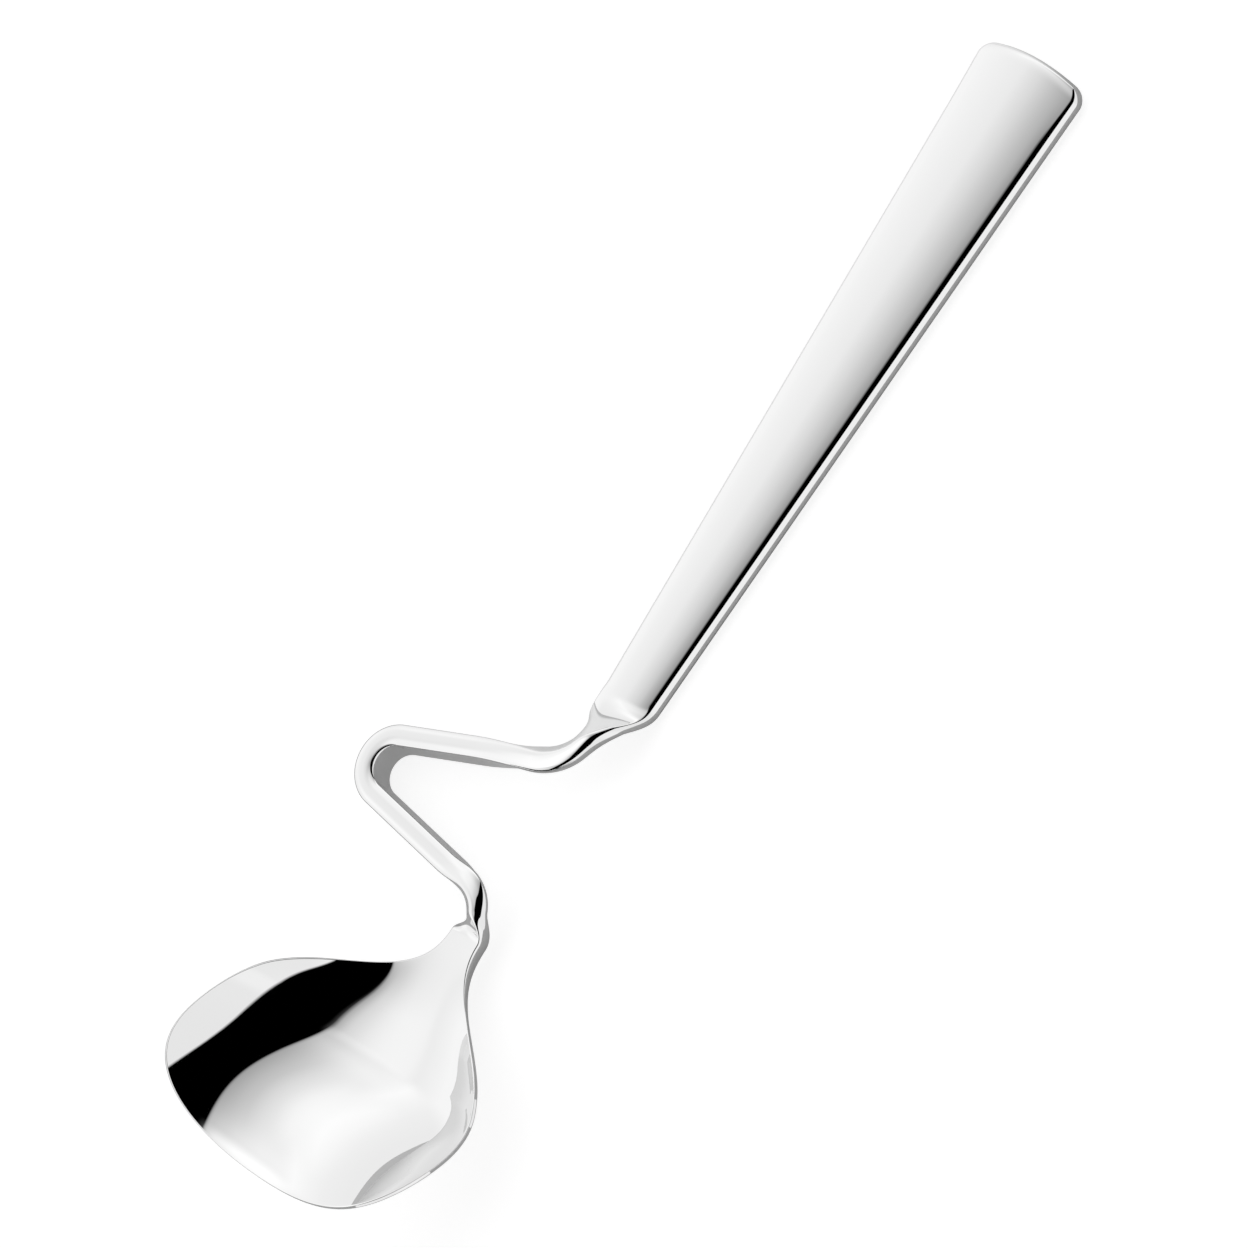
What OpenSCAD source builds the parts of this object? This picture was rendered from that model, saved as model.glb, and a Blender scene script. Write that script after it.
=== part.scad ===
// Honey spoon: a pressed bowl, a twisted hook neck and a hollow handle of two shells.
// It lies on its back as on a table: +X runs to the butt of the handle, +Z is up,
// and the origin is the middle of the flat back of the handle.

/* [Handle] */
// Length of the handle from its mouth to its butt
handle_len = 86.4; // [70:0.1:130]
// Width across the butt end
butt_w = 15.8; // [11:0.1:20]
// Width at the mouth, where the neck goes in
mouth_w = 8.2; // [7:0.1:10]
// Thickness of the handle along its long edges
edge_t = 2; // [1.9:0.05:3]
// Rise of the crowned front, as a share of the half width
crown_share = 0.165; // [0.05:0.005:0.25]
// Rounding of the long edges
edge_round = 0.8; // [0.7:0.05:0.9]
// Radius of the butt's corners, seen from above
butt_corner_r = 2; // [1.2:0.1:2.4]
// Radius of the arc across the butt end, seen from above
butt_arc_r = 32; // [20:0.5:80]
// Length of the handle over which the butt's arc comes in
butt_blend = 12; // [8:0.5:25]
// Wall of the two pressed shells
shell_wall = 0.5; // [0.4:0.05:0.6]
// Solid metal left inside the butt end
butt_wall = 3; // [2.5:0.1:6]
// Slope at the far end of the hollow
end_slope = 1; // [0.5:0.1:3]

/* [Neck] */
// Depth of the neck strip, standing on its edge
strip_depth = 4.7; // [4:0.1:6.5]
// Thickness of the neck strip
strip_t = 2.6; // [1.8:0.1:3.2]
// Rounding of the strip's corners
strip_round = 0.5; // [0.3:0.05:0.85]
// How much of their thickness the edges of the strip and of the root are rounded over
round_share = 0.92; // [0.6:0.01:0.94]
// Straight length between the mouth and the first bend
lead_len = 4.3; // [0.2:0.1:6]
// Length over which the shoulder draws in from the handle to the strip
shoulder_len = 14; // [8:0.5:18]
// Radius of the bend below the handle, to the strip's middle
bend_in_r = 8.2; // [5:0.1:14]
// Slope of the arm that runs out to the hook
arm_in_slope = 21; // [8:1:35]
// How far the hook's middle line reaches to the side
hook_reach = 24.4; // [20:0.2:40]
// Radius of the hook, to the strip's middle
hook_r = 3.9; // [2.8:0.1:7]
// Slope of the arm that runs back from the hook
arm_back_slope = 8; // [2:1:25]
// Radius of the bend above the bowl, to the strip's middle
bend_out_r = 5.6; // [4:0.1:10]
// Twist that the strip takes quickly next to the handle
twist_in = 57; // [40:1:70]
// Length of that quick twist
twist_in_len = 8.5; // [6:0.5:12]
// Length over which the rest of the quarter turn comes in
settle_in_len = 14; // [10:0.5:20]
// Twist that the strip takes quickly next to the bowl
twist_out = 58; // [40:1:70]
// Length of that quick twist
twist_out_len = 3; // [2.5:0.1:6]
// Length over which the rest of that quarter turn comes in
settle_out_len = 8; // [5:0.5:12]
// Length of the tang inside the handle
tang_len = 36; // [15:1:50]
// Width of the tang
tang_w = 3.8; // [2.5:0.1:4.5]
// Thickness of the tang
tang_t = 0.9; // [0.6:0.05:1]

/* [Bowl] */
// Length of the bowl from its root to its tip, seen from above
bowl_len = 35; // [30:0.2:50]
// Width of the bowl
bowl_w = 37.5; // [30:0.1:48]
// Distance of the widest place from the root
bowl_widest = 22; // [18:0.1:26]
// Height of the rim over the middle line, at the widest place
bowl_depth = 6.6; // [4:0.1:10]
// Sideways lean of the bowl, up on the hook's side
bowl_lean = 5.7; // [0:0.1:10]
// Length over which the lean comes in
lean_len = 14; // [8:0.5:18]
// Thickness of the bowl's sheet
bowl_sheet = 0.95; // [0.95:0.05:1.8]
// Width of the root, where the neck is welded on
root_w = 4.8; // [4.4:0.1:6.5]
// Thickness of the root
root_t = 2; // [1.8:0.1:3]
// Height of the root's middle above the table
root_lift = 2.8; // [2.4:0.1:6]
// Length over which the root thins down to the sheet
root_taper = 9; // [6:0.5:20]
// Length of the flat root
root_flat = 0.8; // [0.2:0.1:3]
// Length over which the flat root turns hollow
hollow_len = 11.8; // [8:0.1:14]
// First gentle rise of the middle line above the root
keel_rise = 1.3; // [0:0.05:2]
// Distance from the root where the steeper climb to the tip starts
climb_at = 15.7; // [10:0.1:20]
// How far the tip rises above the root
tip_rise = 11.4; // [4:0.1:14]
// Slope of the middle line at the tip
tip_slope = 10; // [0:1:25]
// Pull of the outline along the root before it flares, as a share of the way to the widest place
flare_share = 0.46; // [0.3:0.01:0.6]
// Pull of the outline before its widest place, as a share of the way from the root
shoulder_share = 0.59; // [0.4:0.01:0.7]
// Pull of the outline after its widest place, as a share of the way to the tip
cheek_share = 0.94; // [0.5:0.005:0.97]
// Pull of the outline across the blunt tip, as a share of the half width
tip_share = 0.31; // [0.2:0.005:0.6]
// Rounding of the rim
rim_round = 0.45; // [0.2:0.05:0.45]

/* [Fits] */
// Gap round the filler and the tang
fit_gap = 0.04; // [0.02:0.01:0.08]

/* [Hidden] */

// Steps along each curve
corner_steps = 3;
across_steps = 12;
bend_steps = 12;
hook_steps = 12;
arm_steps = 4;
taper_steps = 6;
blend_steps = 5;
outline_steps = 13;
lead_steps = 4;

// Places along the handle
mouth_x = -handle_len / 2;
butt_x = handle_len / 2;
seam_z = edge_t / 2;
cavity_end = butt_x - butt_wall;

// Headings along the neck, counted round +Z from +X
heading_axis = 180;
heading_out = 90 + arm_in_slope;
heading_back = 270 - arm_back_slope;

// Straight arms that bring the hook to its reach and back to the handle's line
arm_in_len = (hook_reach - (bend_in_r + hook_r) * (1 + cos(heading_out))) / sin(heading_out);
arm_back_len = (hook_reach - (hook_r + bend_out_r) * (1 + cos(heading_back))) / -sin(heading_back);
bend_in_len = bend_in_r * (heading_axis - heading_out) * PI / 180;
bend_out_len = bend_out_r * (heading_back - heading_axis) * PI / 180;

// Corners of the neck's path
bend_in_start = [mouth_x - lead_len, 0];
arm_in_start = bend_in_start + bend_in_r * (right_of(heading_axis) - right_of(heading_out));
hook_start = arm_in_start + arm_in_len * ahead(heading_out);
hook_centre = hook_start - hook_r * right_of(heading_out);
hook_end = hook_centre + hook_r * right_of(heading_back);
bend_out_start = hook_end + arm_back_len * ahead(heading_back);
root = bend_out_start + bend_out_r * (right_of(heading_back) - right_of(heading_axis));

function ahead(heading) = [cos(heading), sin(heading)];
function right_of(heading) = [sin(heading), -cos(heading)];
function mix(from, to, share) = from + (to - from) * share;
function clamp(share) = min(1, max(0, share));
function ease(share) = let (s = clamp(share)) s * s * (3 - 2 * s);
function glide(share) = let (s = clamp(share)) pow(s, 3) * (10 - 15 * s + 6 * s * s);
function reversed(list) = [for (i = [len(list) - 1:-1:0]) list[i]];
function crown(half_w) = half_w * crown_share;
function bezier(p, t) =
    pow(1 - t, 3) * p[0] + 3 * t * pow(1 - t, 2) * p[1] + 3 * t * t * (1 - t) * p[2] + pow(t, 3) * p[3];

// One side of a section: up a rounded corner, across a cambered face and down the other corner
function arch(half_w, rise, camber, round, tall = 0) =
    let (
        high = max(round, tall),
        corner = [for (k = [0:corner_steps]) let (a = 90 * k / corner_steps)
            [half_w - round * (1 - cos(a)), rise - high * (1 - sin(a))]],
        face = [for (i = [1:across_steps - 1])
            [(half_w - round) * (1 - 2 * i / across_steps), rise]],
        far_corner = [for (p = reversed(corner)) [-p.x, p.y]]
    )
    [for (p = concat(corner, face, far_corner)) [p.x, p.y + camber * (1 - pow(p.x / half_w, 2))]];

function flipped(side) = [for (p = side) [p.x, -p.y]];

// Whole section from its upper and lower sides
function ring(upper, lower) = concat(upper, reversed(lower));

// A section of the strip, cambered on its front only
function strip_ring(half_w, t, camber, round, tall) =
    ring(arch(half_w, t / 2, camber, round, tall), flipped(arch(half_w, t / 2, 0, round, tall)));

// Closed solid through rings that run towards +X, with ladder-shaped ends
module skin(rings) {
    m = len(rings[0]);
    n = m / 2;
    last = (len(rings) - 1) * m;
    sides = [for (k = [0:len(rings) - 2]) for (i = [0:m - 1])
        let (a = k * m + i, b = k * m + (i + 1) % m)
        each [[a, a + m, b + m], [a, b + m, b]]];
    first_end = [for (i = [0:n - 2]) each [[i, i + 1, m - 2 - i], [i, m - 2 - i, m - 1 - i]]];
    last_end = [for (f = first_end) [last + f[0], last + f[2], last + f[1]]];
    polyhedron(points = [for (r = rings) each r], faces = concat(sides, first_end, last_end));
}

// Handle: stations are [x, half width, thickness inset], and the butt's corners round both
function handle_half_w(x) = mix(mouth_w, butt_w, (x - mouth_x) / handle_len) / 2;
butt_start = butt_x - butt_corner_r;
handle_body = concat(
    [for (k = [0:taper_steps]) mix(mouth_x, butt_x - butt_blend, k / taper_steps)],
    [for (k = [1:blend_steps]) mix(butt_x - butt_blend, cavity_end - end_slope, k / blend_steps)]
);
handle_butt = [for (k = [0:bend_steps / 2]) let (a = 90 * k / (bend_steps / 2))
    [butt_start + butt_corner_r * sin(a),
     handle_half_w(butt_start) - butt_corner_r * (1 - cos(a)),
     (edge_round - fit_gap) * (1 - cos(a))]];

// The butt end bows out along an arc
function bowed(x, y) = x - y * y / (2 * butt_arc_r) * pow(clamp(1 - (butt_x - x) / butt_blend), 2);
function handle_place(x, section, up = 1) = [for (p = section) [bowed(x, p.x), p.x, seam_z + up * p.y]];

function outer_side(half_w, inset, crowned) =
    let (rise = edge_t / 2 - inset, round = edge_round - inset)
    concat([[half_w, 0]], arch(half_w, rise, crowned * crown(half_w), round), [[-half_w, 0]]);
function inner_side(half_w, wall, crowned) =
    let (w = half_w - wall)
    concat([[w, 0]], arch(w, edge_t / 2 - wall, crowned * crown(w), edge_round - shell_wall), [[-w, 0]]);
function closed_side(half_w, count) =
    let (w = half_w - shell_wall)
    [for (i = [0:count - 1]) [w * (1 - 2 * i / (count - 1)), 0]];

// A pressed shell: hollow up to the butt wall, solid from there to the butt
module shell(crowned, up) {
    count = len(outer_side(1, 0, 1));
    hollow_rings = [for (x = handle_body) let (w = handle_half_w(x))
        handle_place(x, ring(outer_side(w, 0, crowned), inner_side(w, shell_wall, crowned)), up)];
    end_w = handle_half_w(cavity_end);
    end_wall = [handle_place(cavity_end, ring(outer_side(end_w, 0, crowned), closed_side(end_w, count)), up)];
    butt_rings = [for (s = handle_butt)
        handle_place(s[0], ring(outer_side(s[1], s[2], crowned), closed_side(s[1], count)), up)];
    rings = concat(hollow_rings, end_wall, butt_rings);
    skin(up > 0 ? rings : [for (r = rings) reversed(r)]);
}

module handle_front_shell() {
    color("gainsboro") shell(1, 1);
}

module handle_back_shell() {
    color("silver") shell(0, -1);
}

// Set filler that fills both shells and locks the tang
module handle_filler() {
    wall = shell_wall + fit_gap;
    stations = [for (x = handle_body) min(max(x, mouth_x + fit_gap), cavity_end - end_slope - fit_gap)];
    color("tan") difference() {
        skin([for (x = stations) let (w = handle_half_w(x), inner = w - wall, round = edge_round - shell_wall)
            handle_place(x, ring(
                arch(inner, edge_t / 2 - wall, crown(inner), round),
                flipped(arch(inner, edge_t / 2 - wall, 0, round))))]);
        tang(fit_gap);
    }
}

// Flat tang that the neck carries into the handle, halfway up the hollow
tang_z = edge_t / 2 + crown(mouth_w / 2 - shell_wall) / 5;
module tang(grow) {
    root_len = 1;
    translate([mouth_x - root_len, -tang_w / 2 - grow, tang_z - tang_t / 2 - grow])
        cube([tang_len + root_len + grow, tang_w + 2 * grow, tang_t + 2 * grow]);
}

// Neck: each station is [place, heading, twist, half width, thickness, camber, corner width, corner height]
function twist_at(run, first, first_len, settle_len) =
    first * ease(run / first_len) + (90 - first) * ease((run - first_len) / settle_len);

// From the handle on: the handle's section draws in to the strip's
function handle_end(place, heading, run) =
    let (
        s = ease(run / shoulder_len),
        twist = twist_at(run, twist_in, twist_in_len, settle_in_len),
        half_w = mix(mouth_w, strip_depth, s) / 2,
        t = mix(edge_t, strip_t, s),
        lift = t / 2 * cos(twist) + half_w * sin(twist)
    )
    [[place.x, place.y, lift], heading, twist, half_w, t,
     mix(crown(mouth_w / 2), 0, s), mix(edge_round, strip_round, s), mix(edge_round, round_share * strip_t / 2, s)];

// Up to the bowl: the strip twists back and lifts to the bowl's root
function bowl_end(place, heading, rest) =
    let (
        s = 1 - ease(rest / bend_out_len),
        twist = twist_at(rest, twist_out, twist_out_len, settle_out_len),
        half_w = mix(strip_depth, root_w, s) / 2,
        t = mix(strip_t, root_t, s),
        lift = t / 2 * cos(twist) + half_w * sin(twist) + (root_lift - root_t / 2) * pow(1 - twist / 90, 2)
    )
    [[place.x, place.y, lift], heading, twist, half_w, t,
     0, mix(strip_round, rim_round, s), round_share * t / 2];

arm_run = lead_len + bend_in_len;
neck_stations = concat(
    [for (k = [0:lead_steps - 1]) let (run = lead_len * k / lead_steps)
        handle_end([mouth_x - run, 0], heading_axis, run)],
    [for (k = [0:bend_steps]) let (share = k / bend_steps, h = mix(heading_axis, heading_out, share))
        handle_end(bend_in_start + bend_in_r * (right_of(heading_axis) - right_of(h)), h,
            lead_len + bend_in_len * share)],
    [for (k = [1:arm_steps - 1]) let (share = k / arm_steps)
        handle_end(mix(arm_in_start, hook_start, share), heading_out, arm_run + arm_in_len * share)],
    [for (k = [0:hook_steps]) let (h = mix(heading_out, heading_back, k / hook_steps))
        handle_end(hook_centre + hook_r * right_of(h), h, arm_run + arm_in_len)],
    [for (k = [1:arm_steps - 1]) let (share = k / arm_steps)
        bowl_end(mix(hook_end, bend_out_start, share), heading_back, bend_out_len + arm_back_len * (1 - share))],
    [for (k = [0:bend_steps]) let (share = k / bend_steps, h = mix(heading_back, heading_axis, share))
        bowl_end(bend_out_start + bend_out_r * (right_of(heading_back) - right_of(h)), h,
            bend_out_len * (1 - share))]
);

// The strip's front starts out upwards and twists to its right-hand side
function neck_ring(s) =
    let (
        right = right_of(s[1]),
        across = [cos(s[2]) * right.x, cos(s[2]) * right.y, -sin(s[2])],
        front = [sin(s[2]) * right.x, sin(s[2]) * right.y, cos(s[2])]
    )
    [for (p = strip_ring(s[3], s[4], s[5], s[6], s[7])) s[0] + p.x * across + p.y * front];

module neck() {
    color("lightgray") {
        skin(reversed([for (s = neck_stations) neck_ring(s)]));
        tang(0);
    }
}

// Bowl: half of its outline as [distance from the root, half width]
root_to_widest = [[0, root_w / 2], [flare_share * bowl_widest, root_w / 2],
    [(1 - shoulder_share) * bowl_widest, bowl_w / 2], [bowl_widest, bowl_w / 2]];
widest_to_tip = [[bowl_widest, bowl_w / 2], [mix(bowl_widest, bowl_len, cheek_share), bowl_w / 2],
    [bowl_len, tip_share * bowl_w / 2], [bowl_len, 0]];
outline_end = 0.97;
bowl_outline = concat(
    [for (k = [0:outline_steps]) bezier(root_to_widest, k / outline_steps)],
    [for (k = [1:outline_steps]) bezier(widest_to_tip, outline_end * k / outline_steps)]
);

// Height of the bowl's middle line over its root: a slight rise, then a climb that eases at the tip
function keel(s) =
    let (rest = bowl_len - climb_at, x = clamp((s - climb_at) / rest))
    (tip_rise - keel_rise) * ease(x) + tan(tip_slope) * rest * (pow(x, 3) - pow(x, 2)) + keel_rise * ease(s / climb_at);

// The walls rise by a power of the distance from the middle line, as steeply where the root flares, and lean
wall_power = 2.4;
flare_power = 1.05;
function wall(s, half_w, y) =
    let (near = s < bowl_widest ? half_w : bowl_w / 2)
    bowl_depth * glide((s - root_flat) / hollow_len) * pow(bowl_w / 2 / near, flare_power)
        * pow(abs(y) / (bowl_w / 2), wall_power)
        + tan(bowl_lean) * glide(s / lean_len) * y;

function bowl_ring(s, half_w) =
    let (
        thin = ease(s / root_taper),
        t = mix(root_t, bowl_sheet, thin),
        tall = mix(round_share * root_t / 2, rim_round, thin),
        side = arch(half_w, t / 2, 0, rim_round, min(tall, round_share * t / 2))
    )
    [for (p = ring(side, flipped(side)))
        [root.x - s, root.y + p.x, root_lift + keel(s) + wall(s, half_w, p.x) + p.y]];

module bowl() {
    color("whitesmoke") skin(reversed([for (o = bowl_outline) bowl_ring(o.x, o.y)]));
}

bowl();
neck();
handle_front_shell();
handle_back_shell();
handle_filler();
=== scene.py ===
"""Honey spoon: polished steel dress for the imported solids, on a pale floor in soft studio light."""
import math

import bmesh
import bpy
from mathutils import Matrix, Vector


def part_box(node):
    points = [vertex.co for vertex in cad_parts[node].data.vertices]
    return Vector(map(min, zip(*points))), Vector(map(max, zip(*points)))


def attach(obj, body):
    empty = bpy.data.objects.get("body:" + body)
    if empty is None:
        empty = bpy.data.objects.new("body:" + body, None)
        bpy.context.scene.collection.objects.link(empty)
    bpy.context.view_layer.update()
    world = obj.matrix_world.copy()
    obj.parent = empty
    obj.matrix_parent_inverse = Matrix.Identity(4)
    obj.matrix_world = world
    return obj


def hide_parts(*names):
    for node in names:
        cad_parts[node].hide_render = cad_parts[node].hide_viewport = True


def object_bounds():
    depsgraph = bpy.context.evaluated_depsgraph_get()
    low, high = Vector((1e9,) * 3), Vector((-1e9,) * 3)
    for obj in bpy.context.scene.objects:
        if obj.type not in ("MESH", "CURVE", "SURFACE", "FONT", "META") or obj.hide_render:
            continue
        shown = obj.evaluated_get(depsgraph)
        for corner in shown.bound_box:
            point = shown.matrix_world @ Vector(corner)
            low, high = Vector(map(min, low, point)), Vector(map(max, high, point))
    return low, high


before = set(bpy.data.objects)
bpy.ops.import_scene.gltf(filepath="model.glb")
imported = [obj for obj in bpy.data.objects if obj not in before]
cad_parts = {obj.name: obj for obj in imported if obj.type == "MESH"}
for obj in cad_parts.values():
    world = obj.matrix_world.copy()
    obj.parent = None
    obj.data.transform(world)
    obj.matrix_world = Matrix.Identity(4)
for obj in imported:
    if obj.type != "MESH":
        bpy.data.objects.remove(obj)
cad_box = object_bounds()

# Sizes are in millimetres and meshes in metres
MM = 0.001


def node_box(name):
    """Lowest and highest corners of a node, in millimetres."""
    low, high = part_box(name)
    return Vector(low) / MM, Vector(high) / MM


SHELL_LOW, SHELL_HIGH = node_box("handle_front_shell")

# Handle
MOUTH_X = SHELL_LOW.x
BUTT_X = SHELL_HIGH.x
HANDLE_LEN = BUTT_X - MOUTH_X
EDGE_T = 1.8
SEAM_Z = EDGE_T / 2
BUTT_W = 15.8
MOUTH_W = 8.2
CROWN_SHARE = 0.165
EDGE_ROUND = 0.8
# The brow is a slight fall of the crowned front just inside its long edges
BROW_W = 2.2
BROW_MOUTH = 0.17
BROW_BUTT = 0.115
BROW_END = 1.2
BROW_FADE = 9.0
BACK_ROUND = 1.5
# Share of the shell's height that the back's rounded edges take
BACK_SHARE = 0.92
BUTT_CORNER_R = 2.0
BUTT_ARC_R = 32.0
BUTT_BLEND = 12.0
BUTT_EDGE = 0.7
# Share of the long edges' rounding that goes where the butt's edge rounds off
ROUND_LOSS = 0.98
SHELL_WALL = 0.5
BUTT_WALL = 3.0
END_SLOPE = 1.0

# Neck
STRIP_DEPTH = 4.7
STRIP_T = 2.6
STRIP_ROUND = 0.5
# Share of half the thickness that the strip's rounded edges take
ROUND_SHARE = 0.92
LEAD_LEN = 4.3
SHOULDER_LEN = 14.0
CRISP_LEN = 3.0
BEND_IN_R = 8.2
ARM_IN_SLOPE = 21.0
HOOK_REACH = 24.4
HOOK_R = 3.9
ARM_BACK_SLOPE = 8.0
BEND_OUT_R = 5.6
QUARTER_TURN = 90
TWIST_IN = 57.0
TWIST_IN_LEN = 8.5
SETTLE_IN_LEN = 14.0
TWIST_OUT = 58.0
TWIST_OUT_LEN = 3.0
SETTLE_OUT_LEN = 8.0
TANG_LEN = 36.0
TANG_W = 3.8
TANG_T = 0.9
TANG_ROOT = 1.0
TANG_CORNER = TANG_T / 3
TANG_ACROSS = 2
TANG_LIFT_SHARE = 0.2

# Bowl
BOWL_LEN = 35.0
BOWL_W = 37.5
BOWL_WIDEST = 22.0
BOWL_DEPTH = 6.6
BOWL_LEAN = 5.7
LEAN_LEN = 14.0
WALL_POWER = 2.4
FLARE_POWER = 1.05
BOWL_SHEET = 0.95
ROOT_W = 4.8
ROOT_T = 2.0
ROOT_LIFT = 2.8
ROOT_TAPER = 9.0
ROOT_FLAT = 0.8
HOLLOW_LEN = 11.8
KEEL_RISE = 1.3
CLIMB_AT = 15.7
TIP_RISE = 11.4
TIP_SLOPE = 10.0
FLARE_SHARE = 0.46
SHOULDER_SHARE = 0.59
CHEEK_SHARE = 0.94
TIP_SHARE = 0.31
ROOT_ROUND = 0.45
RIM_ROUND = 0.12
RIM_CUT = 0.45
RIM_FROM = 0.85

# Camera: the photograph's frame is square, and the handle runs up to the right in it
IMAGE_PX = 1248
PX_PER_MM = 8.70
FOCAL_PX = 8000
SENSOR_MM = 36.0
AIM_MM = Vector((-36.85, 6.30, 1.32))
TO_CAMERA = Vector((0.0, -0.545, 0.839))
CAMERA_UP = Vector((0.8424, 0.4520, 0.2937))

# Fineness of the meshes
ACROSS_STEPS = 64
CORNER_STEPS = 10
BEND_STEPS = 56
LEAD_STEPS = 24
HOOK_STEPS = 64
ARM_STEPS = 30
TAPER_STEPS = 90
BLEND_STEPS = 24
BUTT_STEPS = 20
BOWL_STEPS = 90
BOWL_ACROSS = 96
RIM_STEPS = 6
SHARP_ANGLE = math.radians(35)


def mix(start, end, share):
    """Value at a share of the way."""
    return start + (end - start) * share


def clamp(share):
    """Keeps a share between 0 and 1."""
    return min(1.0, max(0.0, share))


def ease(share):
    """Smooth step with level ends."""
    s = clamp(share)
    return s * s * (3 - 2 * s)


def glide(share):
    """Smoother step, whose ends are straight as well as level."""
    s = clamp(share)
    return s**3 * (10 - 15 * s + 6 * s * s)


def bezier(p, t):
    """Value on a cubic curve with four control values."""
    a = 1 - t
    return p[0] * a**3 + p[1] * 3 * t * a * a + p[2] * 3 * t * t * a + p[3] * t**3


def ahead(heading):
    """Level direction of a heading."""
    return Vector((math.cos(heading), math.sin(heading), 0))


def right_of(heading):
    """Level direction to the right of a heading."""
    return Vector((math.sin(heading), -math.cos(heading), 0))


def crown(half_w):
    """Rise of the handle's crowned front."""
    return half_w * CROWN_SHARE


def brow(y, half_w, drop):
    """How far the crowned front falls away just inside its long edges."""
    share = clamp((abs(y) - (half_w - BROW_W)) / BROW_W)
    return drop * share * share


def arch(half_w, rise, camber, corner, tall=None, drop=0.0, across=ACROSS_STEPS):
    """One side of a section: up a rounded corner, across a cambered face and down the other corner."""
    high = tall or corner
    up = []
    for k in range(CORNER_STEPS + 1):
        a = math.pi / 2 * k / CORNER_STEPS
        up.append((half_w - corner * (1 - math.cos(a)), rise - high * (1 - math.sin(a))))
    face = [((half_w - corner) * (1 - 2 * i / across), rise) for i in range(1, across)]
    down = [(-y, z) for y, z in reversed(up)]
    return [(y, z + camber * (1 - (y / half_w) ** 2) - brow(y, half_w, drop)) for y, z in up + face + down]


def below(side):
    """The same side of a section, turned down."""
    return [(y, -z) for y, z in side]


def ring(upper, lower):
    """Closed section from two sides that run the same way."""
    return upper + lower[::-1]


def make_object(name, points, faces):
    """Mesh object from millimetre points, smooth except at true edges."""
    mesh = bpy.data.meshes.new(name)
    mesh.from_pydata([Vector(p) * MM for p in points], [], faces)
    bm = bmesh.new()
    bm.from_mesh(mesh)
    bmesh.ops.recalc_face_normals(bm, faces=bm.faces)
    for face in bm.faces:
        face.smooth = True
    for edge in bm.edges:
        edge.smooth = len(edge.link_faces) == 2 and edge.calc_face_angle() < SHARP_ANGLE
    bm.to_mesh(mesh)
    bm.free()
    piece = bpy.data.objects.new(name, mesh)
    bpy.context.scene.collection.objects.link(piece)
    return piece


def skin(rings):
    """Points and faces of a closed solid through rings, with ladder-shaped ends."""
    count = len(rings[0])
    half = count // 2
    faces = []
    for k in range(len(rings) - 1):
        for i in range(count):
            a = k * count + i
            b = k * count + (i + 1) % count
            faces.append((a, b, b + count, a + count))
    for base in (0, (len(rings) - 1) * count):
        for i in range(half - 1):
            faces.append((base + i, base + i + 1, base + count - 2 - i, base + count - 1 - i))
    return [p for r in rings for p in r], faces


def handle_half_w(x):
    """Half of the handle's width, which tapers to the mouth."""
    return mix(MOUTH_W, BUTT_W, (x - MOUTH_X) / HANDLE_LEN) / 2


def bowed(x, y):
    """The butt end bows out along an arc."""
    share = clamp(1 - (BUTT_X - x) / BUTT_BLEND)
    return x - y * y / (2 * BUTT_ARC_R) * share * share


def outer_side(x, half_w, inset, crowned):
    """Outside of a shell: the front is crowned, and the back has wide soft edges."""
    rise = EDGE_T / 2 - inset
    left = 1 - ROUND_LOSS * inset / EDGE_ROUND
    if crowned:
        drop = mix(BROW_MOUTH, BROW_BUTT, (x - MOUTH_X) / HANDLE_LEN) * ease((BUTT_X - x) / BROW_FADE)
        side = arch(half_w, rise, crown(half_w), EDGE_ROUND * left, drop=drop)
    else:
        side = arch(half_w, rise, 0, BACK_ROUND * left, BACK_SHARE * rise)
    return [(half_w, 0)] + side + [(-half_w, 0)]


def inner_side(half_w, crowned):
    """Inside of a shell, along the hollow."""
    w = half_w - SHELL_WALL
    side = arch(w, EDGE_T / 2 - SHELL_WALL, crowned * crown(w), EDGE_ROUND - SHELL_WALL)
    return [(w, 0)] + side + [(-w, 0)]


def closed_side(half_w, count):
    """Inside of a shell past the hollow: flat on the seam."""
    w = half_w - SHELL_WALL
    return [(w * (1 - 2 * i / (count - 1)), 0) for i in range(count)]


def make_shell(name, crowned, up):
    """Pressed half of the handle, hollow up to the butt wall."""
    cavity_end = BUTT_X - BUTT_WALL
    blend_x = BUTT_X - BUTT_BLEND
    stations = [mix(MOUTH_X, blend_x, k / TAPER_STEPS) for k in range(TAPER_STEPS)]
    stations += [mix(blend_x, cavity_end - END_SLOPE, k / BLEND_STEPS) for k in range(BLEND_STEPS + 1)]
    rows = []
    # Tapered stretch over the hollow
    for x in stations:
        w = handle_half_w(x)
        rows.append((x, outer_side(x, w, 0, crowned), inner_side(w, crowned)))
    count = len(rows[0][1])
    end_w = handle_half_w(cavity_end)
    rows.append((cavity_end, outer_side(cavity_end, end_w, 0, crowned), closed_side(end_w, count)))
    # Solid butt with rounded corners
    butt_start = BUTT_X - BUTT_CORNER_R
    for k in range(BUTT_STEPS + 1):
        a = math.pi / 2 * k / BUTT_STEPS
        x = butt_start + BUTT_CORNER_R * math.sin(a)
        w = handle_half_w(butt_start) - BUTT_CORNER_R * (1 - math.cos(a))
        over = clamp(1 - (BUTT_X - x) / BUTT_EDGE)
        inset = EDGE_ROUND * (1 - math.sqrt(1 - over * over))
        rows.append((x, outer_side(x, w, inset, crowned), closed_side(w, count)))
    rings = []
    for x, outer, inner in rows:
        rings.append([(bowed(x, y), y, SEAM_Z + up * z) for y, z in ring(outer, inner)])
    return make_object(name, *skin(rings))


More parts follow.
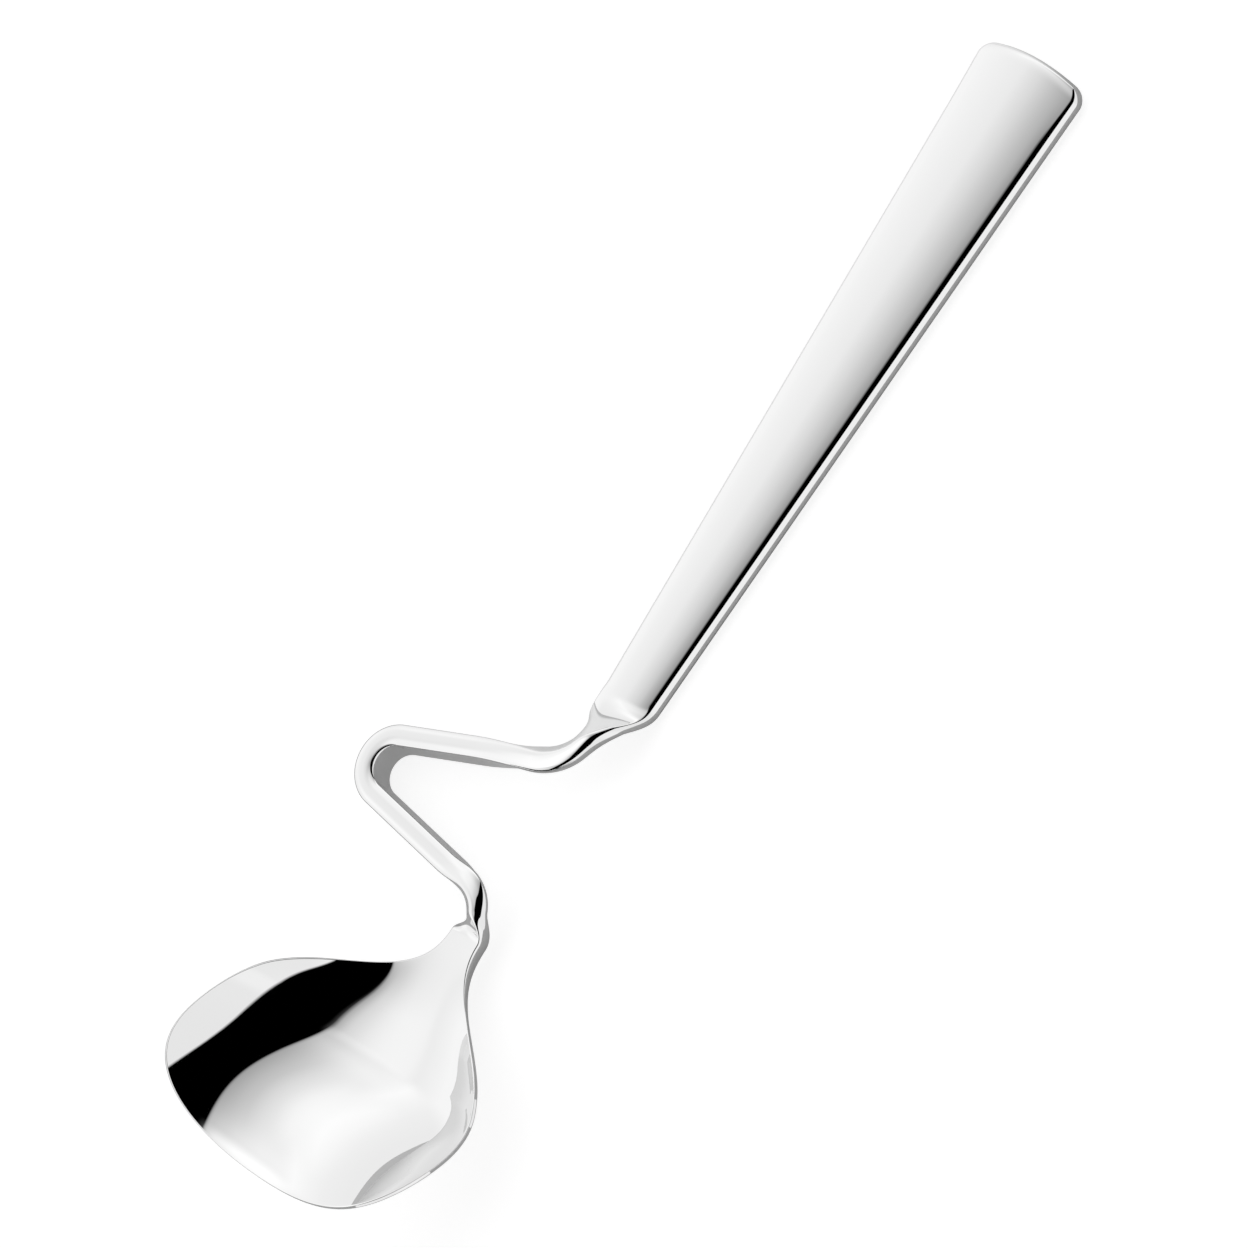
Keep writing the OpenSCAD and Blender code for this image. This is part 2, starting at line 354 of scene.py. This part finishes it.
# Neck path: headings are counted round +Z from +X
AXIS = math.pi
HEAD_OUT = math.radians(QUARTER_TURN + ARM_IN_SLOPE)
HEAD_BACK = math.radians(3 * QUARTER_TURN - ARM_BACK_SLOPE)
ARM_IN_LEN = (HOOK_REACH - (BEND_IN_R + HOOK_R) * (1 + math.cos(HEAD_OUT))) / math.sin(HEAD_OUT)
ARM_BACK_LEN = (HOOK_REACH - (HOOK_R + BEND_OUT_R) * (1 + math.cos(HEAD_BACK))) / -math.sin(HEAD_BACK)
BEND_IN_LEN = BEND_IN_R * (AXIS - HEAD_OUT)
BEND_OUT_LEN = BEND_OUT_R * (HEAD_BACK - AXIS)
BEND_IN_START = Vector((MOUTH_X - LEAD_LEN, 0, 0))
ARM_IN_START = BEND_IN_START + BEND_IN_R * (right_of(AXIS) - right_of(HEAD_OUT))
HOOK_START = ARM_IN_START + ARM_IN_LEN * ahead(HEAD_OUT)
HOOK_CENTRE = HOOK_START - HOOK_R * right_of(HEAD_OUT)
HOOK_END = HOOK_CENTRE + HOOK_R * right_of(HEAD_BACK)
BEND_OUT_START = HOOK_END + ARM_BACK_LEN * ahead(HEAD_BACK)
ROOT_PLACE = BEND_OUT_START + BEND_OUT_R * (right_of(HEAD_BACK) - right_of(AXIS))


def strip_ring(place, lift, heading, twist, half_w, t, camber, front_round, back_round):
    """Section of the strip, whose front starts out upwards and twists to its right-hand side."""
    right = right_of(heading)
    above = Vector((0, 0, 1))
    across = math.cos(twist) * right - math.sin(twist) * above
    front = math.sin(twist) * right + math.cos(twist) * above
    section = ring(arch(half_w, t / 2, camber, *front_round), below(arch(half_w, t / 2, 0, *back_round)))
    middle = place + lift * above
    return [middle + y * across + z * front for y, z in section]


def twist_at(run, first, first_len, settle_len, start):
    """Twist of the strip at a distance from its joint: quick at first, then slow up to a quarter turn."""
    degrees = first * start(run / first_len) + (QUARTER_TURN - first) * ease((run - first_len) / settle_len)
    return math.radians(degrees)


def handle_end_ring(place, heading, run):
    """The handle's section draws in to the strip's, leaving along the handle's own taper."""
    share = clamp(run / SHOULDER_LEN)
    s = ease(share)
    twist = twist_at(run, TWIST_IN, TWIST_IN_LEN, SETTLE_IN_LEN, glide)
    taper = (BUTT_W - MOUTH_W) / (2 * HANDLE_LEN) * SHOULDER_LEN * share * (1 - share) ** 2
    half_w = mix(MOUTH_W, STRIP_DEPTH, s) / 2 - taper
    t = mix(EDGE_T, STRIP_T, s)
    lift = t / 2 * math.cos(twist) + half_w * math.sin(twist)
    tall = ROUND_SHARE * STRIP_T / 2
    drop = BROW_MOUTH * (1 - ease(run / BROW_END))
    front_round = (mix(EDGE_ROUND, STRIP_ROUND, ease(run / CRISP_LEN)), mix(EDGE_ROUND, tall, s), drop)
    back_round = (mix(BACK_ROUND, STRIP_ROUND, s), mix(BACK_SHARE * EDGE_T / 2, tall, s))
    return strip_ring(place, lift, heading, twist, half_w, t, mix(crown(MOUTH_W / 2), 0, s),
                      front_round, back_round)


def bowl_end_ring(place, heading, rest):
    """The strip twists back and rounds off to the bowl's root."""
    s = 1 - ease(rest / BEND_OUT_LEN)
    twist = twist_at(rest, TWIST_OUT, TWIST_OUT_LEN, SETTLE_OUT_LEN, ease)
    half_w = mix(STRIP_DEPTH, ROOT_W, s) / 2
    t = mix(STRIP_T, ROOT_T, s)
    flat = 1 - twist / (math.pi / 2)
    lift = t / 2 * math.cos(twist) + half_w * math.sin(twist) + (ROOT_LIFT - ROOT_T / 2) * flat * flat
    both = (mix(STRIP_ROUND, ROOT_ROUND, s), ROUND_SHARE * t / 2)
    return strip_ring(place, lift, heading, twist, half_w, t, 0, both, both)


def make_neck(name):
    """Twisted strip from the handle's mouth round the hook to the bowl's root, with its tang."""
    rings = []
    # Straight lead out of the handle
    for k in range(LEAD_STEPS):
        run = LEAD_LEN * k / LEAD_STEPS
        rings.append(handle_end_ring(Vector((MOUTH_X - run, 0, 0)), AXIS, run))
    # Bend towards the hook
    for k in range(BEND_STEPS + 1):
        share = k / BEND_STEPS
        h = mix(AXIS, HEAD_OUT, share)
        place = BEND_IN_START + BEND_IN_R * (right_of(AXIS) - right_of(h))
        rings.append(handle_end_ring(place, h, LEAD_LEN + BEND_IN_LEN * share))
    # Arm out to the hook
    arm_run = LEAD_LEN + BEND_IN_LEN
    for k in range(1, ARM_STEPS):
        share = k / ARM_STEPS
        place = mix(ARM_IN_START, HOOK_START, share)
        rings.append(handle_end_ring(place, HEAD_OUT, arm_run + ARM_IN_LEN * share))
    # Hook
    for k in range(HOOK_STEPS + 1):
        h = mix(HEAD_OUT, HEAD_BACK, k / HOOK_STEPS)
        rings.append(handle_end_ring(HOOK_CENTRE + HOOK_R * right_of(h), h, arm_run + ARM_IN_LEN))
    # Arm back from the hook
    for k in range(1, ARM_STEPS):
        share = k / ARM_STEPS
        place = mix(HOOK_END, BEND_OUT_START, share)
        rings.append(bowl_end_ring(place, HEAD_BACK, BEND_OUT_LEN + ARM_BACK_LEN * (1 - share)))
    # Bend back to the handle's line
    for k in range(BEND_STEPS + 1):
        share = k / BEND_STEPS
        h = mix(HEAD_BACK, AXIS, share)
        place = BEND_OUT_START + BEND_OUT_R * (right_of(HEAD_BACK) - right_of(h))
        rings.append(bowl_end_ring(place, h, BEND_OUT_LEN * (1 - share)))
    points, faces = skin(rings)
    # Tang inside the handle
    tang_z = SEAM_Z + crown(MOUTH_W / 2 - SHELL_WALL) * TANG_LIFT_SHARE
    tang_side = arch(TANG_W / 2, TANG_T / 2, 0, TANG_CORNER, across=TANG_ACROSS)
    tang_ring = ring(tang_side, below(tang_side))
    tang_ends = (MOUTH_X - TANG_ROOT, MOUTH_X + TANG_LEN)
    tang_points, tang_faces = skin([[(x, y, tang_z + z) for y, z in tang_ring] for x in tang_ends])
    faces += [tuple(i + len(points) for i in f) for f in tang_faces]
    return make_object(name, points + tang_points, faces)


# Bowl: half of its sheet's middle outline as (distance from the root, half width)
MID_LEN = BOWL_LEN - RIM_ROUND
MID_HALF = BOWL_W / 2 - RIM_ROUND
MID_ROOT = ROOT_W / 2 - ROOT_ROUND
ROOT_TO_WIDEST = [(0, MID_ROOT), (FLARE_SHARE * BOWL_WIDEST, MID_ROOT),
                  ((1 - SHOULDER_SHARE) * BOWL_WIDEST, MID_HALF), (BOWL_WIDEST, MID_HALF)]
WIDEST_TO_TIP = [(BOWL_WIDEST, MID_HALF), (mix(BOWL_WIDEST, MID_LEN, CHEEK_SHARE), MID_HALF),
                 (MID_LEN, TIP_SHARE * MID_HALF), (MID_LEN, 0)]
# The last section lies just short of the tip, where the width would be nothing
TIP_END = 1.9995
# Small step for measuring slopes
FINE = 1e-4


def outline(t):
    """Outline of the bowl: 0 is the root, 1 the widest place and 2 the tip."""
    curve, share = (ROOT_TO_WIDEST, t) if t <= 1 else (WIDEST_TO_TIP, t - 1)
    return bezier([p[0] for p in curve], share), bezier([p[1] for p in curve], share)


def keel(s):
    """Height of the bowl's middle line over its root: a slight rise, then a climb that eases at the tip."""
    rest = BOWL_LEN - CLIMB_AT
    x = clamp((s - CLIMB_AT) / rest)
    climb = (TIP_RISE - KEEL_RISE) * ease(x)
    lean = math.tan(math.radians(TIP_SLOPE)) * rest * (x**3 - x**2)
    return climb + lean + KEEL_RISE * ease(s / CLIMB_AT)


def bowl_height(t, y):
    """Height of the middle of the bowl's sheet, by the place along the outline and across it."""
    s, half_w = outline(t)
    near = half_w if t < 1 else MID_HALF
    wall = BOWL_DEPTH * glide((s - ROOT_FLAT) / HOLLOW_LEN) * (MID_HALF / near) ** FLARE_POWER
    lean = math.tan(math.radians(BOWL_LEAN)) * glide(s / LEAN_LEN)
    return ROOT_LIFT + keel(s) + wall * (abs(y) / MID_HALF) ** WALL_POWER + lean * y


def bowl_mid(t, u):
    """Point in the middle of the bowl's sheet, at a share across from -1 to 1."""
    s, half_w = outline(t)
    return Vector((ROOT_PLACE.x - s, u * half_w, bowl_height(t, u * half_w)))


def bowl_axes(t, u):
    """Upward normal and outward edge direction of the bowl's sheet."""
    s, half_w = outline(t)
    y = u * half_w
    if t < 1:
        at = min(max(t, FINE), 1 - FINE)
        run = outline(at + FINE)[0] - outline(at - FINE)[0]
        along = (bowl_height(at + FINE, y) - bowl_height(at - FINE, y)) / run
    else:
        along = (keel(s + FINE) - keel(s - FINE)) / (2 * FINE)
    across = (bowl_height(t, y + FINE) - bowl_height(t, y - FINE)) / (2 * FINE)
    normal = Vector((along, -across, 1)).normalized()
    at = min(max(t, FINE), 2 - FINE)
    before = outline(at - FINE)
    after = outline(at + FINE)
    side = 1 if u > 0 else -1
    outward = Vector((after[1] - before[1], side * (after[0] - before[0]), 0)).normalized()
    outward = (outward - outward.dot(normal) * normal).normalized()
    return normal, outward


def rim_cut(thin, u):
    """How much the sheet is thinned from below, towards the rim."""
    return RIM_CUT * thin * glide((abs(u) - RIM_FROM) / (1 - RIM_FROM))


def bowl_ring(t):
    """Points and normals round one section: inside, one rim, outside, other rim."""
    s = outline(t)[0]
    thin = ease(s / ROOT_TAPER)
    half_t = mix(ROOT_T, BOWL_SHEET, thin) / 2
    wide = mix(ROOT_ROUND, RIM_ROUND, thin)
    tall = mix(ROUND_SHARE * ROOT_T / 2, RIM_ROUND, thin)
    points = []
    normals = []

    def put(place, normal):
        points.append(place)
        normals.append(normal)

    shares = [math.sin(math.pi / 2 * (1 - 2 * i / BOWL_ACROSS)) for i in range(BOWL_ACROSS + 1)]
    for side in (1, -1):
        for u in shares:
            normal, _ = bowl_axes(t, side * u)
            depth = half_t if side > 0 else half_t - rim_cut(thin, u)
            put(bowl_mid(t, side * u) + side * depth * normal, side * normal)
        normal, outward = bowl_axes(t, -side)
        edge = bowl_mid(t, -side)
        for face in (side, -side):
            depth = half_t if face > 0 else half_t - rim_cut(thin, 1)
            middle = edge + face * (depth - tall) * normal
            turns = range(1, RIM_STEPS + 1) if face == side else range(RIM_STEPS, 0, -1)
            for k in turns:
                a = math.pi / 2 * k / RIM_STEPS
                up = face * math.cos(a) * normal
                out = math.sin(a) * outward
                put(middle + tall * up + wide * out, (up / tall + out / wide).normalized())
    return points, normals


def make_bowl(name):
    """Sheet bowl from its thick root to its tip, with smooth worked-out normals."""
    rings = []
    normals = []
    stations = [k / BOWL_STEPS for k in range(BOWL_STEPS)]
    stations += [mix(1, TIP_END, k / BOWL_STEPS) for k in range(BOWL_STEPS + 1)]
    for t in stations:
        points, ring_normals = bowl_ring(t)
        rings.append(points)
        normals += ring_normals
    piece = make_object(name, *skin(rings))
    piece.data.normals_split_custom_set_from_vertices(normals)
    return piece


# Materials
STEEL = (0.80, 0.80, 0.80)
STEEL_ROUGHNESS = (0.01, 0.045)
POLISH_STRETCH = (60, 2400, 2400)
POLISH_SCALE = 1.0
POLISH_DETAIL = 4.0
HAZE_SCALE = 180.0
HAZE_DETAIL = 3.0
FILLER_DARK = (0.50, 0.41, 0.29)
FILLER_PALE = (0.70, 0.60, 0.45)
FILLER_GRAIN = 900.0
FILLER_ROUGHNESS = 0.7


def node_tree(owner):
    """Node tree of a new material or world."""
    owner.use_nodes = True
    return owner.node_tree


def noise(tree, place, scale, detail):
    """Noise over a coordinate."""
    node = tree.nodes.new("ShaderNodeTexNoise")
    node.inputs["Scale"].default_value = scale
    node.inputs["Detail"].default_value = detail
    tree.links.new(place, node.inputs["Vector"])
    return node.outputs["Fac"]


def math_node(tree, operation, *values):
    """Result of an operation on outputs of other nodes and plain numbers."""
    node = tree.nodes.new("ShaderNodeMath")
    node.operation = operation
    for socket, value in zip(node.inputs, values):
        if isinstance(value, float):
            socket.default_value = value
        else:
            tree.links.new(value, socket)
    return node.outputs["Value"]


def share_of(tree, value, low, high, steps="LINEAR"):
    """Share of the way that a value has come from one level to another."""
    node = tree.nodes.new("ShaderNodeMapRange")
    node.interpolation_type = steps
    node.inputs["From Min"].default_value = low
    node.inputs["From Max"].default_value = high
    tree.links.new(value, node.inputs["Value"])
    return node.outputs["Result"]


def split_place(tree, kind):
    """The X, Y and Z of a texture coordinate."""
    place = tree.nodes.new("ShaderNodeTexCoord")
    split = tree.nodes.new("ShaderNodeSeparateXYZ")
    tree.links.new(place.outputs[kind], split.inputs["Vector"])
    return split.outputs


def grey_ramp(tree, share, stops, low, high):
    """Grey level that follows stops of (value, level), where the share runs from a low to a high value."""
    ramp = tree.nodes.new("ShaderNodeValToRGB")
    elements = ramp.color_ramp.elements
    while len(elements) < len(stops):
        elements.new(0.5)
    for element, (value, level) in zip(elements, stops):
        element.position = (value - low) / (high - low)
        element.color = (level, level, level, 1)
    tree.links.new(share, ramp.inputs["Fac"])
    return ramp.outputs["Color"]


def mix_colours(tree, share, first, second):
    """Mix of two colours by a share."""
    node = tree.nodes.new("ShaderNodeMixRGB")
    tree.links.new(share, node.inputs["Fac"])
    tree.links.new(first, node.inputs["Color1"])
    tree.links.new(second, node.inputs["Color2"])
    return node.outputs["Color"]


def polished_steel(name):
    """Mirror polished steel with faint haze and fine polishing lines along the piece."""
    material = bpy.data.materials.new(name)
    tree = node_tree(material)
    shader = tree.nodes["Principled BSDF"]
    shader.inputs["Base Color"].default_value = (*STEEL, 1)
    shader.inputs["Metallic"].default_value = 1.0
    place = tree.nodes.new("ShaderNodeTexCoord")
    stretch = tree.nodes.new("ShaderNodeMapping")
    stretch.inputs["Scale"].default_value = POLISH_STRETCH
    tree.links.new(place.outputs["Object"], stretch.inputs["Vector"])
    lines = noise(tree, stretch.outputs["Vector"], POLISH_SCALE, POLISH_DETAIL)
    haze = noise(tree, place.outputs["Object"], HAZE_SCALE, HAZE_DETAIL)
    rough = tree.nodes.new("ShaderNodeMapRange")
    rough.inputs["To Min"].default_value = STEEL_ROUGHNESS[0]
    rough.inputs["To Max"].default_value = STEEL_ROUGHNESS[1]
    tree.links.new(math_node(tree, "MULTIPLY", lines, haze), rough.inputs["Value"])
    tree.links.new(rough.outputs["Result"], shader.inputs["Roughness"])
    return material


def filler_material(name):
    """Set resin filler, slightly mottled."""
    material = bpy.data.materials.new(name)
    tree = node_tree(material)
    shader = tree.nodes["Principled BSDF"]
    shader.inputs["Roughness"].default_value = FILLER_ROUGHNESS
    grain = tree.nodes.new("ShaderNodeTexNoise")
    grain.inputs["Scale"].default_value = FILLER_GRAIN
    ramp = tree.nodes.new("ShaderNodeValToRGB")
    for element, colour in zip(ramp.color_ramp.elements, (FILLER_DARK, FILLER_PALE)):
        element.color = (*colour, 1)
    tree.links.new(grain.outputs["Fac"], ramp.inputs["Fac"])
    tree.links.new(ramp.outputs["Color"], shader.inputs["Base Color"])
    return material


# Studio: brightness of the surroundings by the angle round the spoon's length, in degrees from overhead.
# The first row lies square to the spoon, the second slantwise to it and the third towards its butt.
STUDIO_SQUARE = [(-180, 1.0), (-40.5, 1.0), (-39.5, 0.0), (-5, 0.0), (-3.5, 0.37), (9, 0.58), (21, 0.80),
                 (33, 0.957), (45, 1.0), (65, 1.07), (180, 1.07)]
STUDIO_SLANT = [(-180, 0.93), (-40.5, 0.93), (-39.5, 0.0), (-5, 0.0), (-4, 0.60), (3, 0.72), (9, 0.80),
                (14, 0.88), (20, 0.95), (27, 1.02), (35, 1.06), (42, 1.12), (52, 1.06), (65, 1.0),
                (85, 0.96), (180, 0.96)]
STUDIO_ALONG = [(-180, 0.91), (-40.5, 0.91), (-39.5, 0.0), (-5, 0.0), (-4, 0.40), (9, 0.56), (17, 0.63),
                (25, 0.76), (34, 0.88), (42, 1.03), (53, 1.18), (62, 1.14), (72, 1.03), (85, 0.97),
                (180, 0.97)]
HALF_TURN = 180
STUDIO_STRENGTH = 1.075
# The rows change over by how far a direction runs along the spoon, from 0, square to it, to 1
SLANT_FROM = 0.12
SLANT_TO = 0.42
ALONG_FROM = 0.55
ALONG_TO = 0.95


def make_world():
    """Studio surroundings: soft light with one dark gap overhead, and white behind the object."""
    world = bpy.data.worlds.new("studio")
    bpy.context.scene.world = world
    tree = node_tree(world)
    tree.nodes.clear()
    way = split_place(tree, "Generated")
    angle = math_node(tree, "ARCTAN2", way["Y"], way["Z"])
    turn = share_of(tree, angle, -math.pi, math.pi)
    square, slant, along = (grey_ramp(tree, turn, stops, -HALF_TURN, HALF_TURN)
                            for stops in (STUDIO_SQUARE, STUDIO_SLANT, STUDIO_ALONG))
    either_way = math_node(tree, "ABSOLUTE", way["X"])
    slanting = share_of(tree, either_way, SLANT_FROM, SLANT_TO, "SMOOTHSTEP")
    lengthwise = share_of(tree, way["X"], ALONG_FROM, ALONG_TO, "SMOOTHSTEP")
    level = mix_colours(tree, lengthwise, mix_colours(tree, slanting, square, slant), along)
    studio = tree.nodes.new("ShaderNodeBackground")
    studio.inputs["Strength"].default_value = STUDIO_STRENGTH
    tree.links.new(level, studio.inputs["Color"])
    white = tree.nodes.new("ShaderNodeBackground")
    white.inputs["Color"].default_value = (1, 1, 1, 1)
    path = tree.nodes.new("ShaderNodeLightPath")
    choose = tree.nodes.new("ShaderNodeMixShader")
    tree.links.new(path.outputs["Is Camera Ray"], choose.inputs["Fac"])
    tree.links.new(studio.outputs["Background"], choose.inputs[1])
    tree.links.new(white.outputs["Background"], choose.inputs[2])
    out = tree.nodes.new("ShaderNodeOutputWorld")
    tree.links.new(choose.outputs["Shader"], out.inputs["Surface"])


def make_plane(name, x_range, y_range, z):
    """Level rectangle in metres, and the empty node tree of its material."""
    mesh = bpy.data.meshes.new(name)
    corners = [(x_range[0], y_range[0], z), (x_range[1], y_range[0], z),
               (x_range[1], y_range[1], z), (x_range[0], y_range[1], z)]
    mesh.from_pydata(corners, [], [(0, 1, 2, 3)])
    plane = bpy.data.objects.new(name, mesh)
    bpy.context.scene.collection.objects.link(plane)
    material = bpy.data.materials.new(name)
    tree = node_tree(material)
    tree.nodes.clear()
    mesh.materials.append(material)
    return plane, tree


def show_sum(tree, first, second):
    """Ends a material with the sum of two shaders."""
    both = tree.nodes.new("ShaderNodeAddShader")
    tree.links.new(first, both.inputs[0])
    tree.links.new(second, both.inputs[1])
    out = tree.nodes.new("ShaderNodeOutputMaterial")
    tree.links.new(both.outputs["Shader"], out.inputs["Surface"])


# Floor, in metres
FLOOR_REACH = (-3.0, 3.0)
FLOOR_DROP = 0.00005
FLOOR_ALBEDO = 0.42
FLOOR_FILL = 0.78
# Extra light of the floor in the metal, by the distance to the hook's side, and where it changes over
BESIDE_HANDLE = [(-0.004, 0.11), (0.010, 0.64), (0.030, 0.64), (0.060, 0.28)]
BESIDE_BOWL = [(-0.004, 0.11), (0.010, 0.18), (0.030, 0.18), (0.060, 0.28)]
SIDE_RANGE = 0.1
BOWL_SIDE_X = -0.060
HANDLE_SIDE_X = -0.046


def make_floor():
    """Pale floor: white to the eye with the object's shadow on it, and partly greyer in the metal."""
    floor, tree = make_plane("floor", FLOOR_REACH, FLOOR_REACH, cad_box[0][2] - FLOOR_DROP)
    matt = tree.nodes.new("ShaderNodeBsdfDiffuse")
    matt.inputs["Color"].default_value = (FLOOR_ALBEDO, FLOOR_ALBEDO, FLOOR_ALBEDO, 1)
    place = split_place(tree, "Object")
    sideways = share_of(tree, place["Y"], -SIDE_RANGE, SIDE_RANGE)
    lengthwise = share_of(tree, place["X"], BOWL_SIDE_X, HANDLE_SIDE_X)
    by_bowl, by_handle = (grey_ramp(tree, sideways, stops, -SIDE_RANGE, SIDE_RANGE)
                          for stops in (BESIDE_BOWL, BESIDE_HANDLE))
    extra = mix_colours(tree, lengthwise, by_bowl, by_handle)
    path = tree.nodes.new("ShaderNodeLightPath")
    seen = math_node(tree, "MULTIPLY", path.outputs["Is Camera Ray"], FLOOR_FILL)
    level = math_node(tree, "MULTIPLY_ADD", path.outputs["Is Glossy Ray"], extra, seen)
    fill = tree.nodes.new("ShaderNodeEmission")
    tree.links.new(level, fill.inputs["Strength"])
    show_sum(tree, matt.outputs["BSDF"], fill.outputs["Emission"])


# Soft light over the bowl, in metres: its reach, its height, and how its edges fade from dark to bright
GLOW_X = (-0.25, -0.045)
GLOW_Y = (-0.02, 0.09)
GLOW_Z = 0.10
GLOW_LEVEL = 0.32
GLOW_FADES = [("X", -0.048, -0.078), ("Y", -0.006, 0.012), ("Y", 0.078, 0.022)]


def make_glow():
    """Soft light over the bowl, which only the metal shows."""
    light, tree = make_plane("bowl_light", GLOW_X, GLOW_Y, GLOW_Z)
    path = tree.nodes.new("ShaderNodeLightPath")
    level = math_node(tree, "MULTIPLY", path.outputs["Is Glossy Ray"], GLOW_LEVEL)
    place = split_place(tree, "Object")
    for axis, dark, bright in GLOW_FADES:
        fade = share_of(tree, place[axis], dark, bright, "SMOOTHSTEP")
        level = math_node(tree, "MULTIPLY", level, fade)
    glow = tree.nodes.new("ShaderNodeEmission")
    tree.links.new(level, glow.inputs["Strength"])
    clear = tree.nodes.new("ShaderNodeBsdfTransparent")
    show_sum(tree, clear.outputs["BSDF"], glow.outputs["Emission"])


def make_camera():
    """Camera of the photograph: a long lens that looks down on the spoon from its hollow side."""
    data = bpy.data.cameras.new("camera")
    data.sensor_width = SENSOR_MM
    data.sensor_fit = "HORIZONTAL"
    data.lens = SENSOR_MM * FOCAL_PX / IMAGE_PX
    camera = bpy.data.objects.new("camera", data)
    bpy.context.scene.collection.objects.link(camera)
    back = TO_CAMERA.normalized()
    right = CAMERA_UP.cross(back).normalized()
    up = back.cross(right)
    turn = Matrix((right, up, back)).transposed().to_4x4()
    distance = FOCAL_PX / PX_PER_MM * MM
    camera.matrix_world = Matrix.Translation(AIM_MM * MM + back * distance) @ turn
    bpy.context.scene.camera = camera


def dress(piece, node, material):
    """Puts a finished piece in place of its CAD node."""
    piece.data.materials.append(material)
    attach(piece, "root")
    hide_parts(node)


make_camera()
make_world()
make_floor()
make_glow()
steel = polished_steel("polished_steel")
dress(make_bowl("bowl_polished"), "bowl", steel)
dress(make_neck("neck_polished"), "neck", steel)
dress(make_shell("handle_front_polished", 1, 1), "handle_front_shell", steel)
dress(make_shell("handle_back_polished", 0, -1), "handle_back_shell", steel)
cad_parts["handle_filler"].data.materials.clear()
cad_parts["handle_filler"].data.materials.append(filler_material("filler"))

bpy.context.scene.view_settings.view_transform = "Standard"
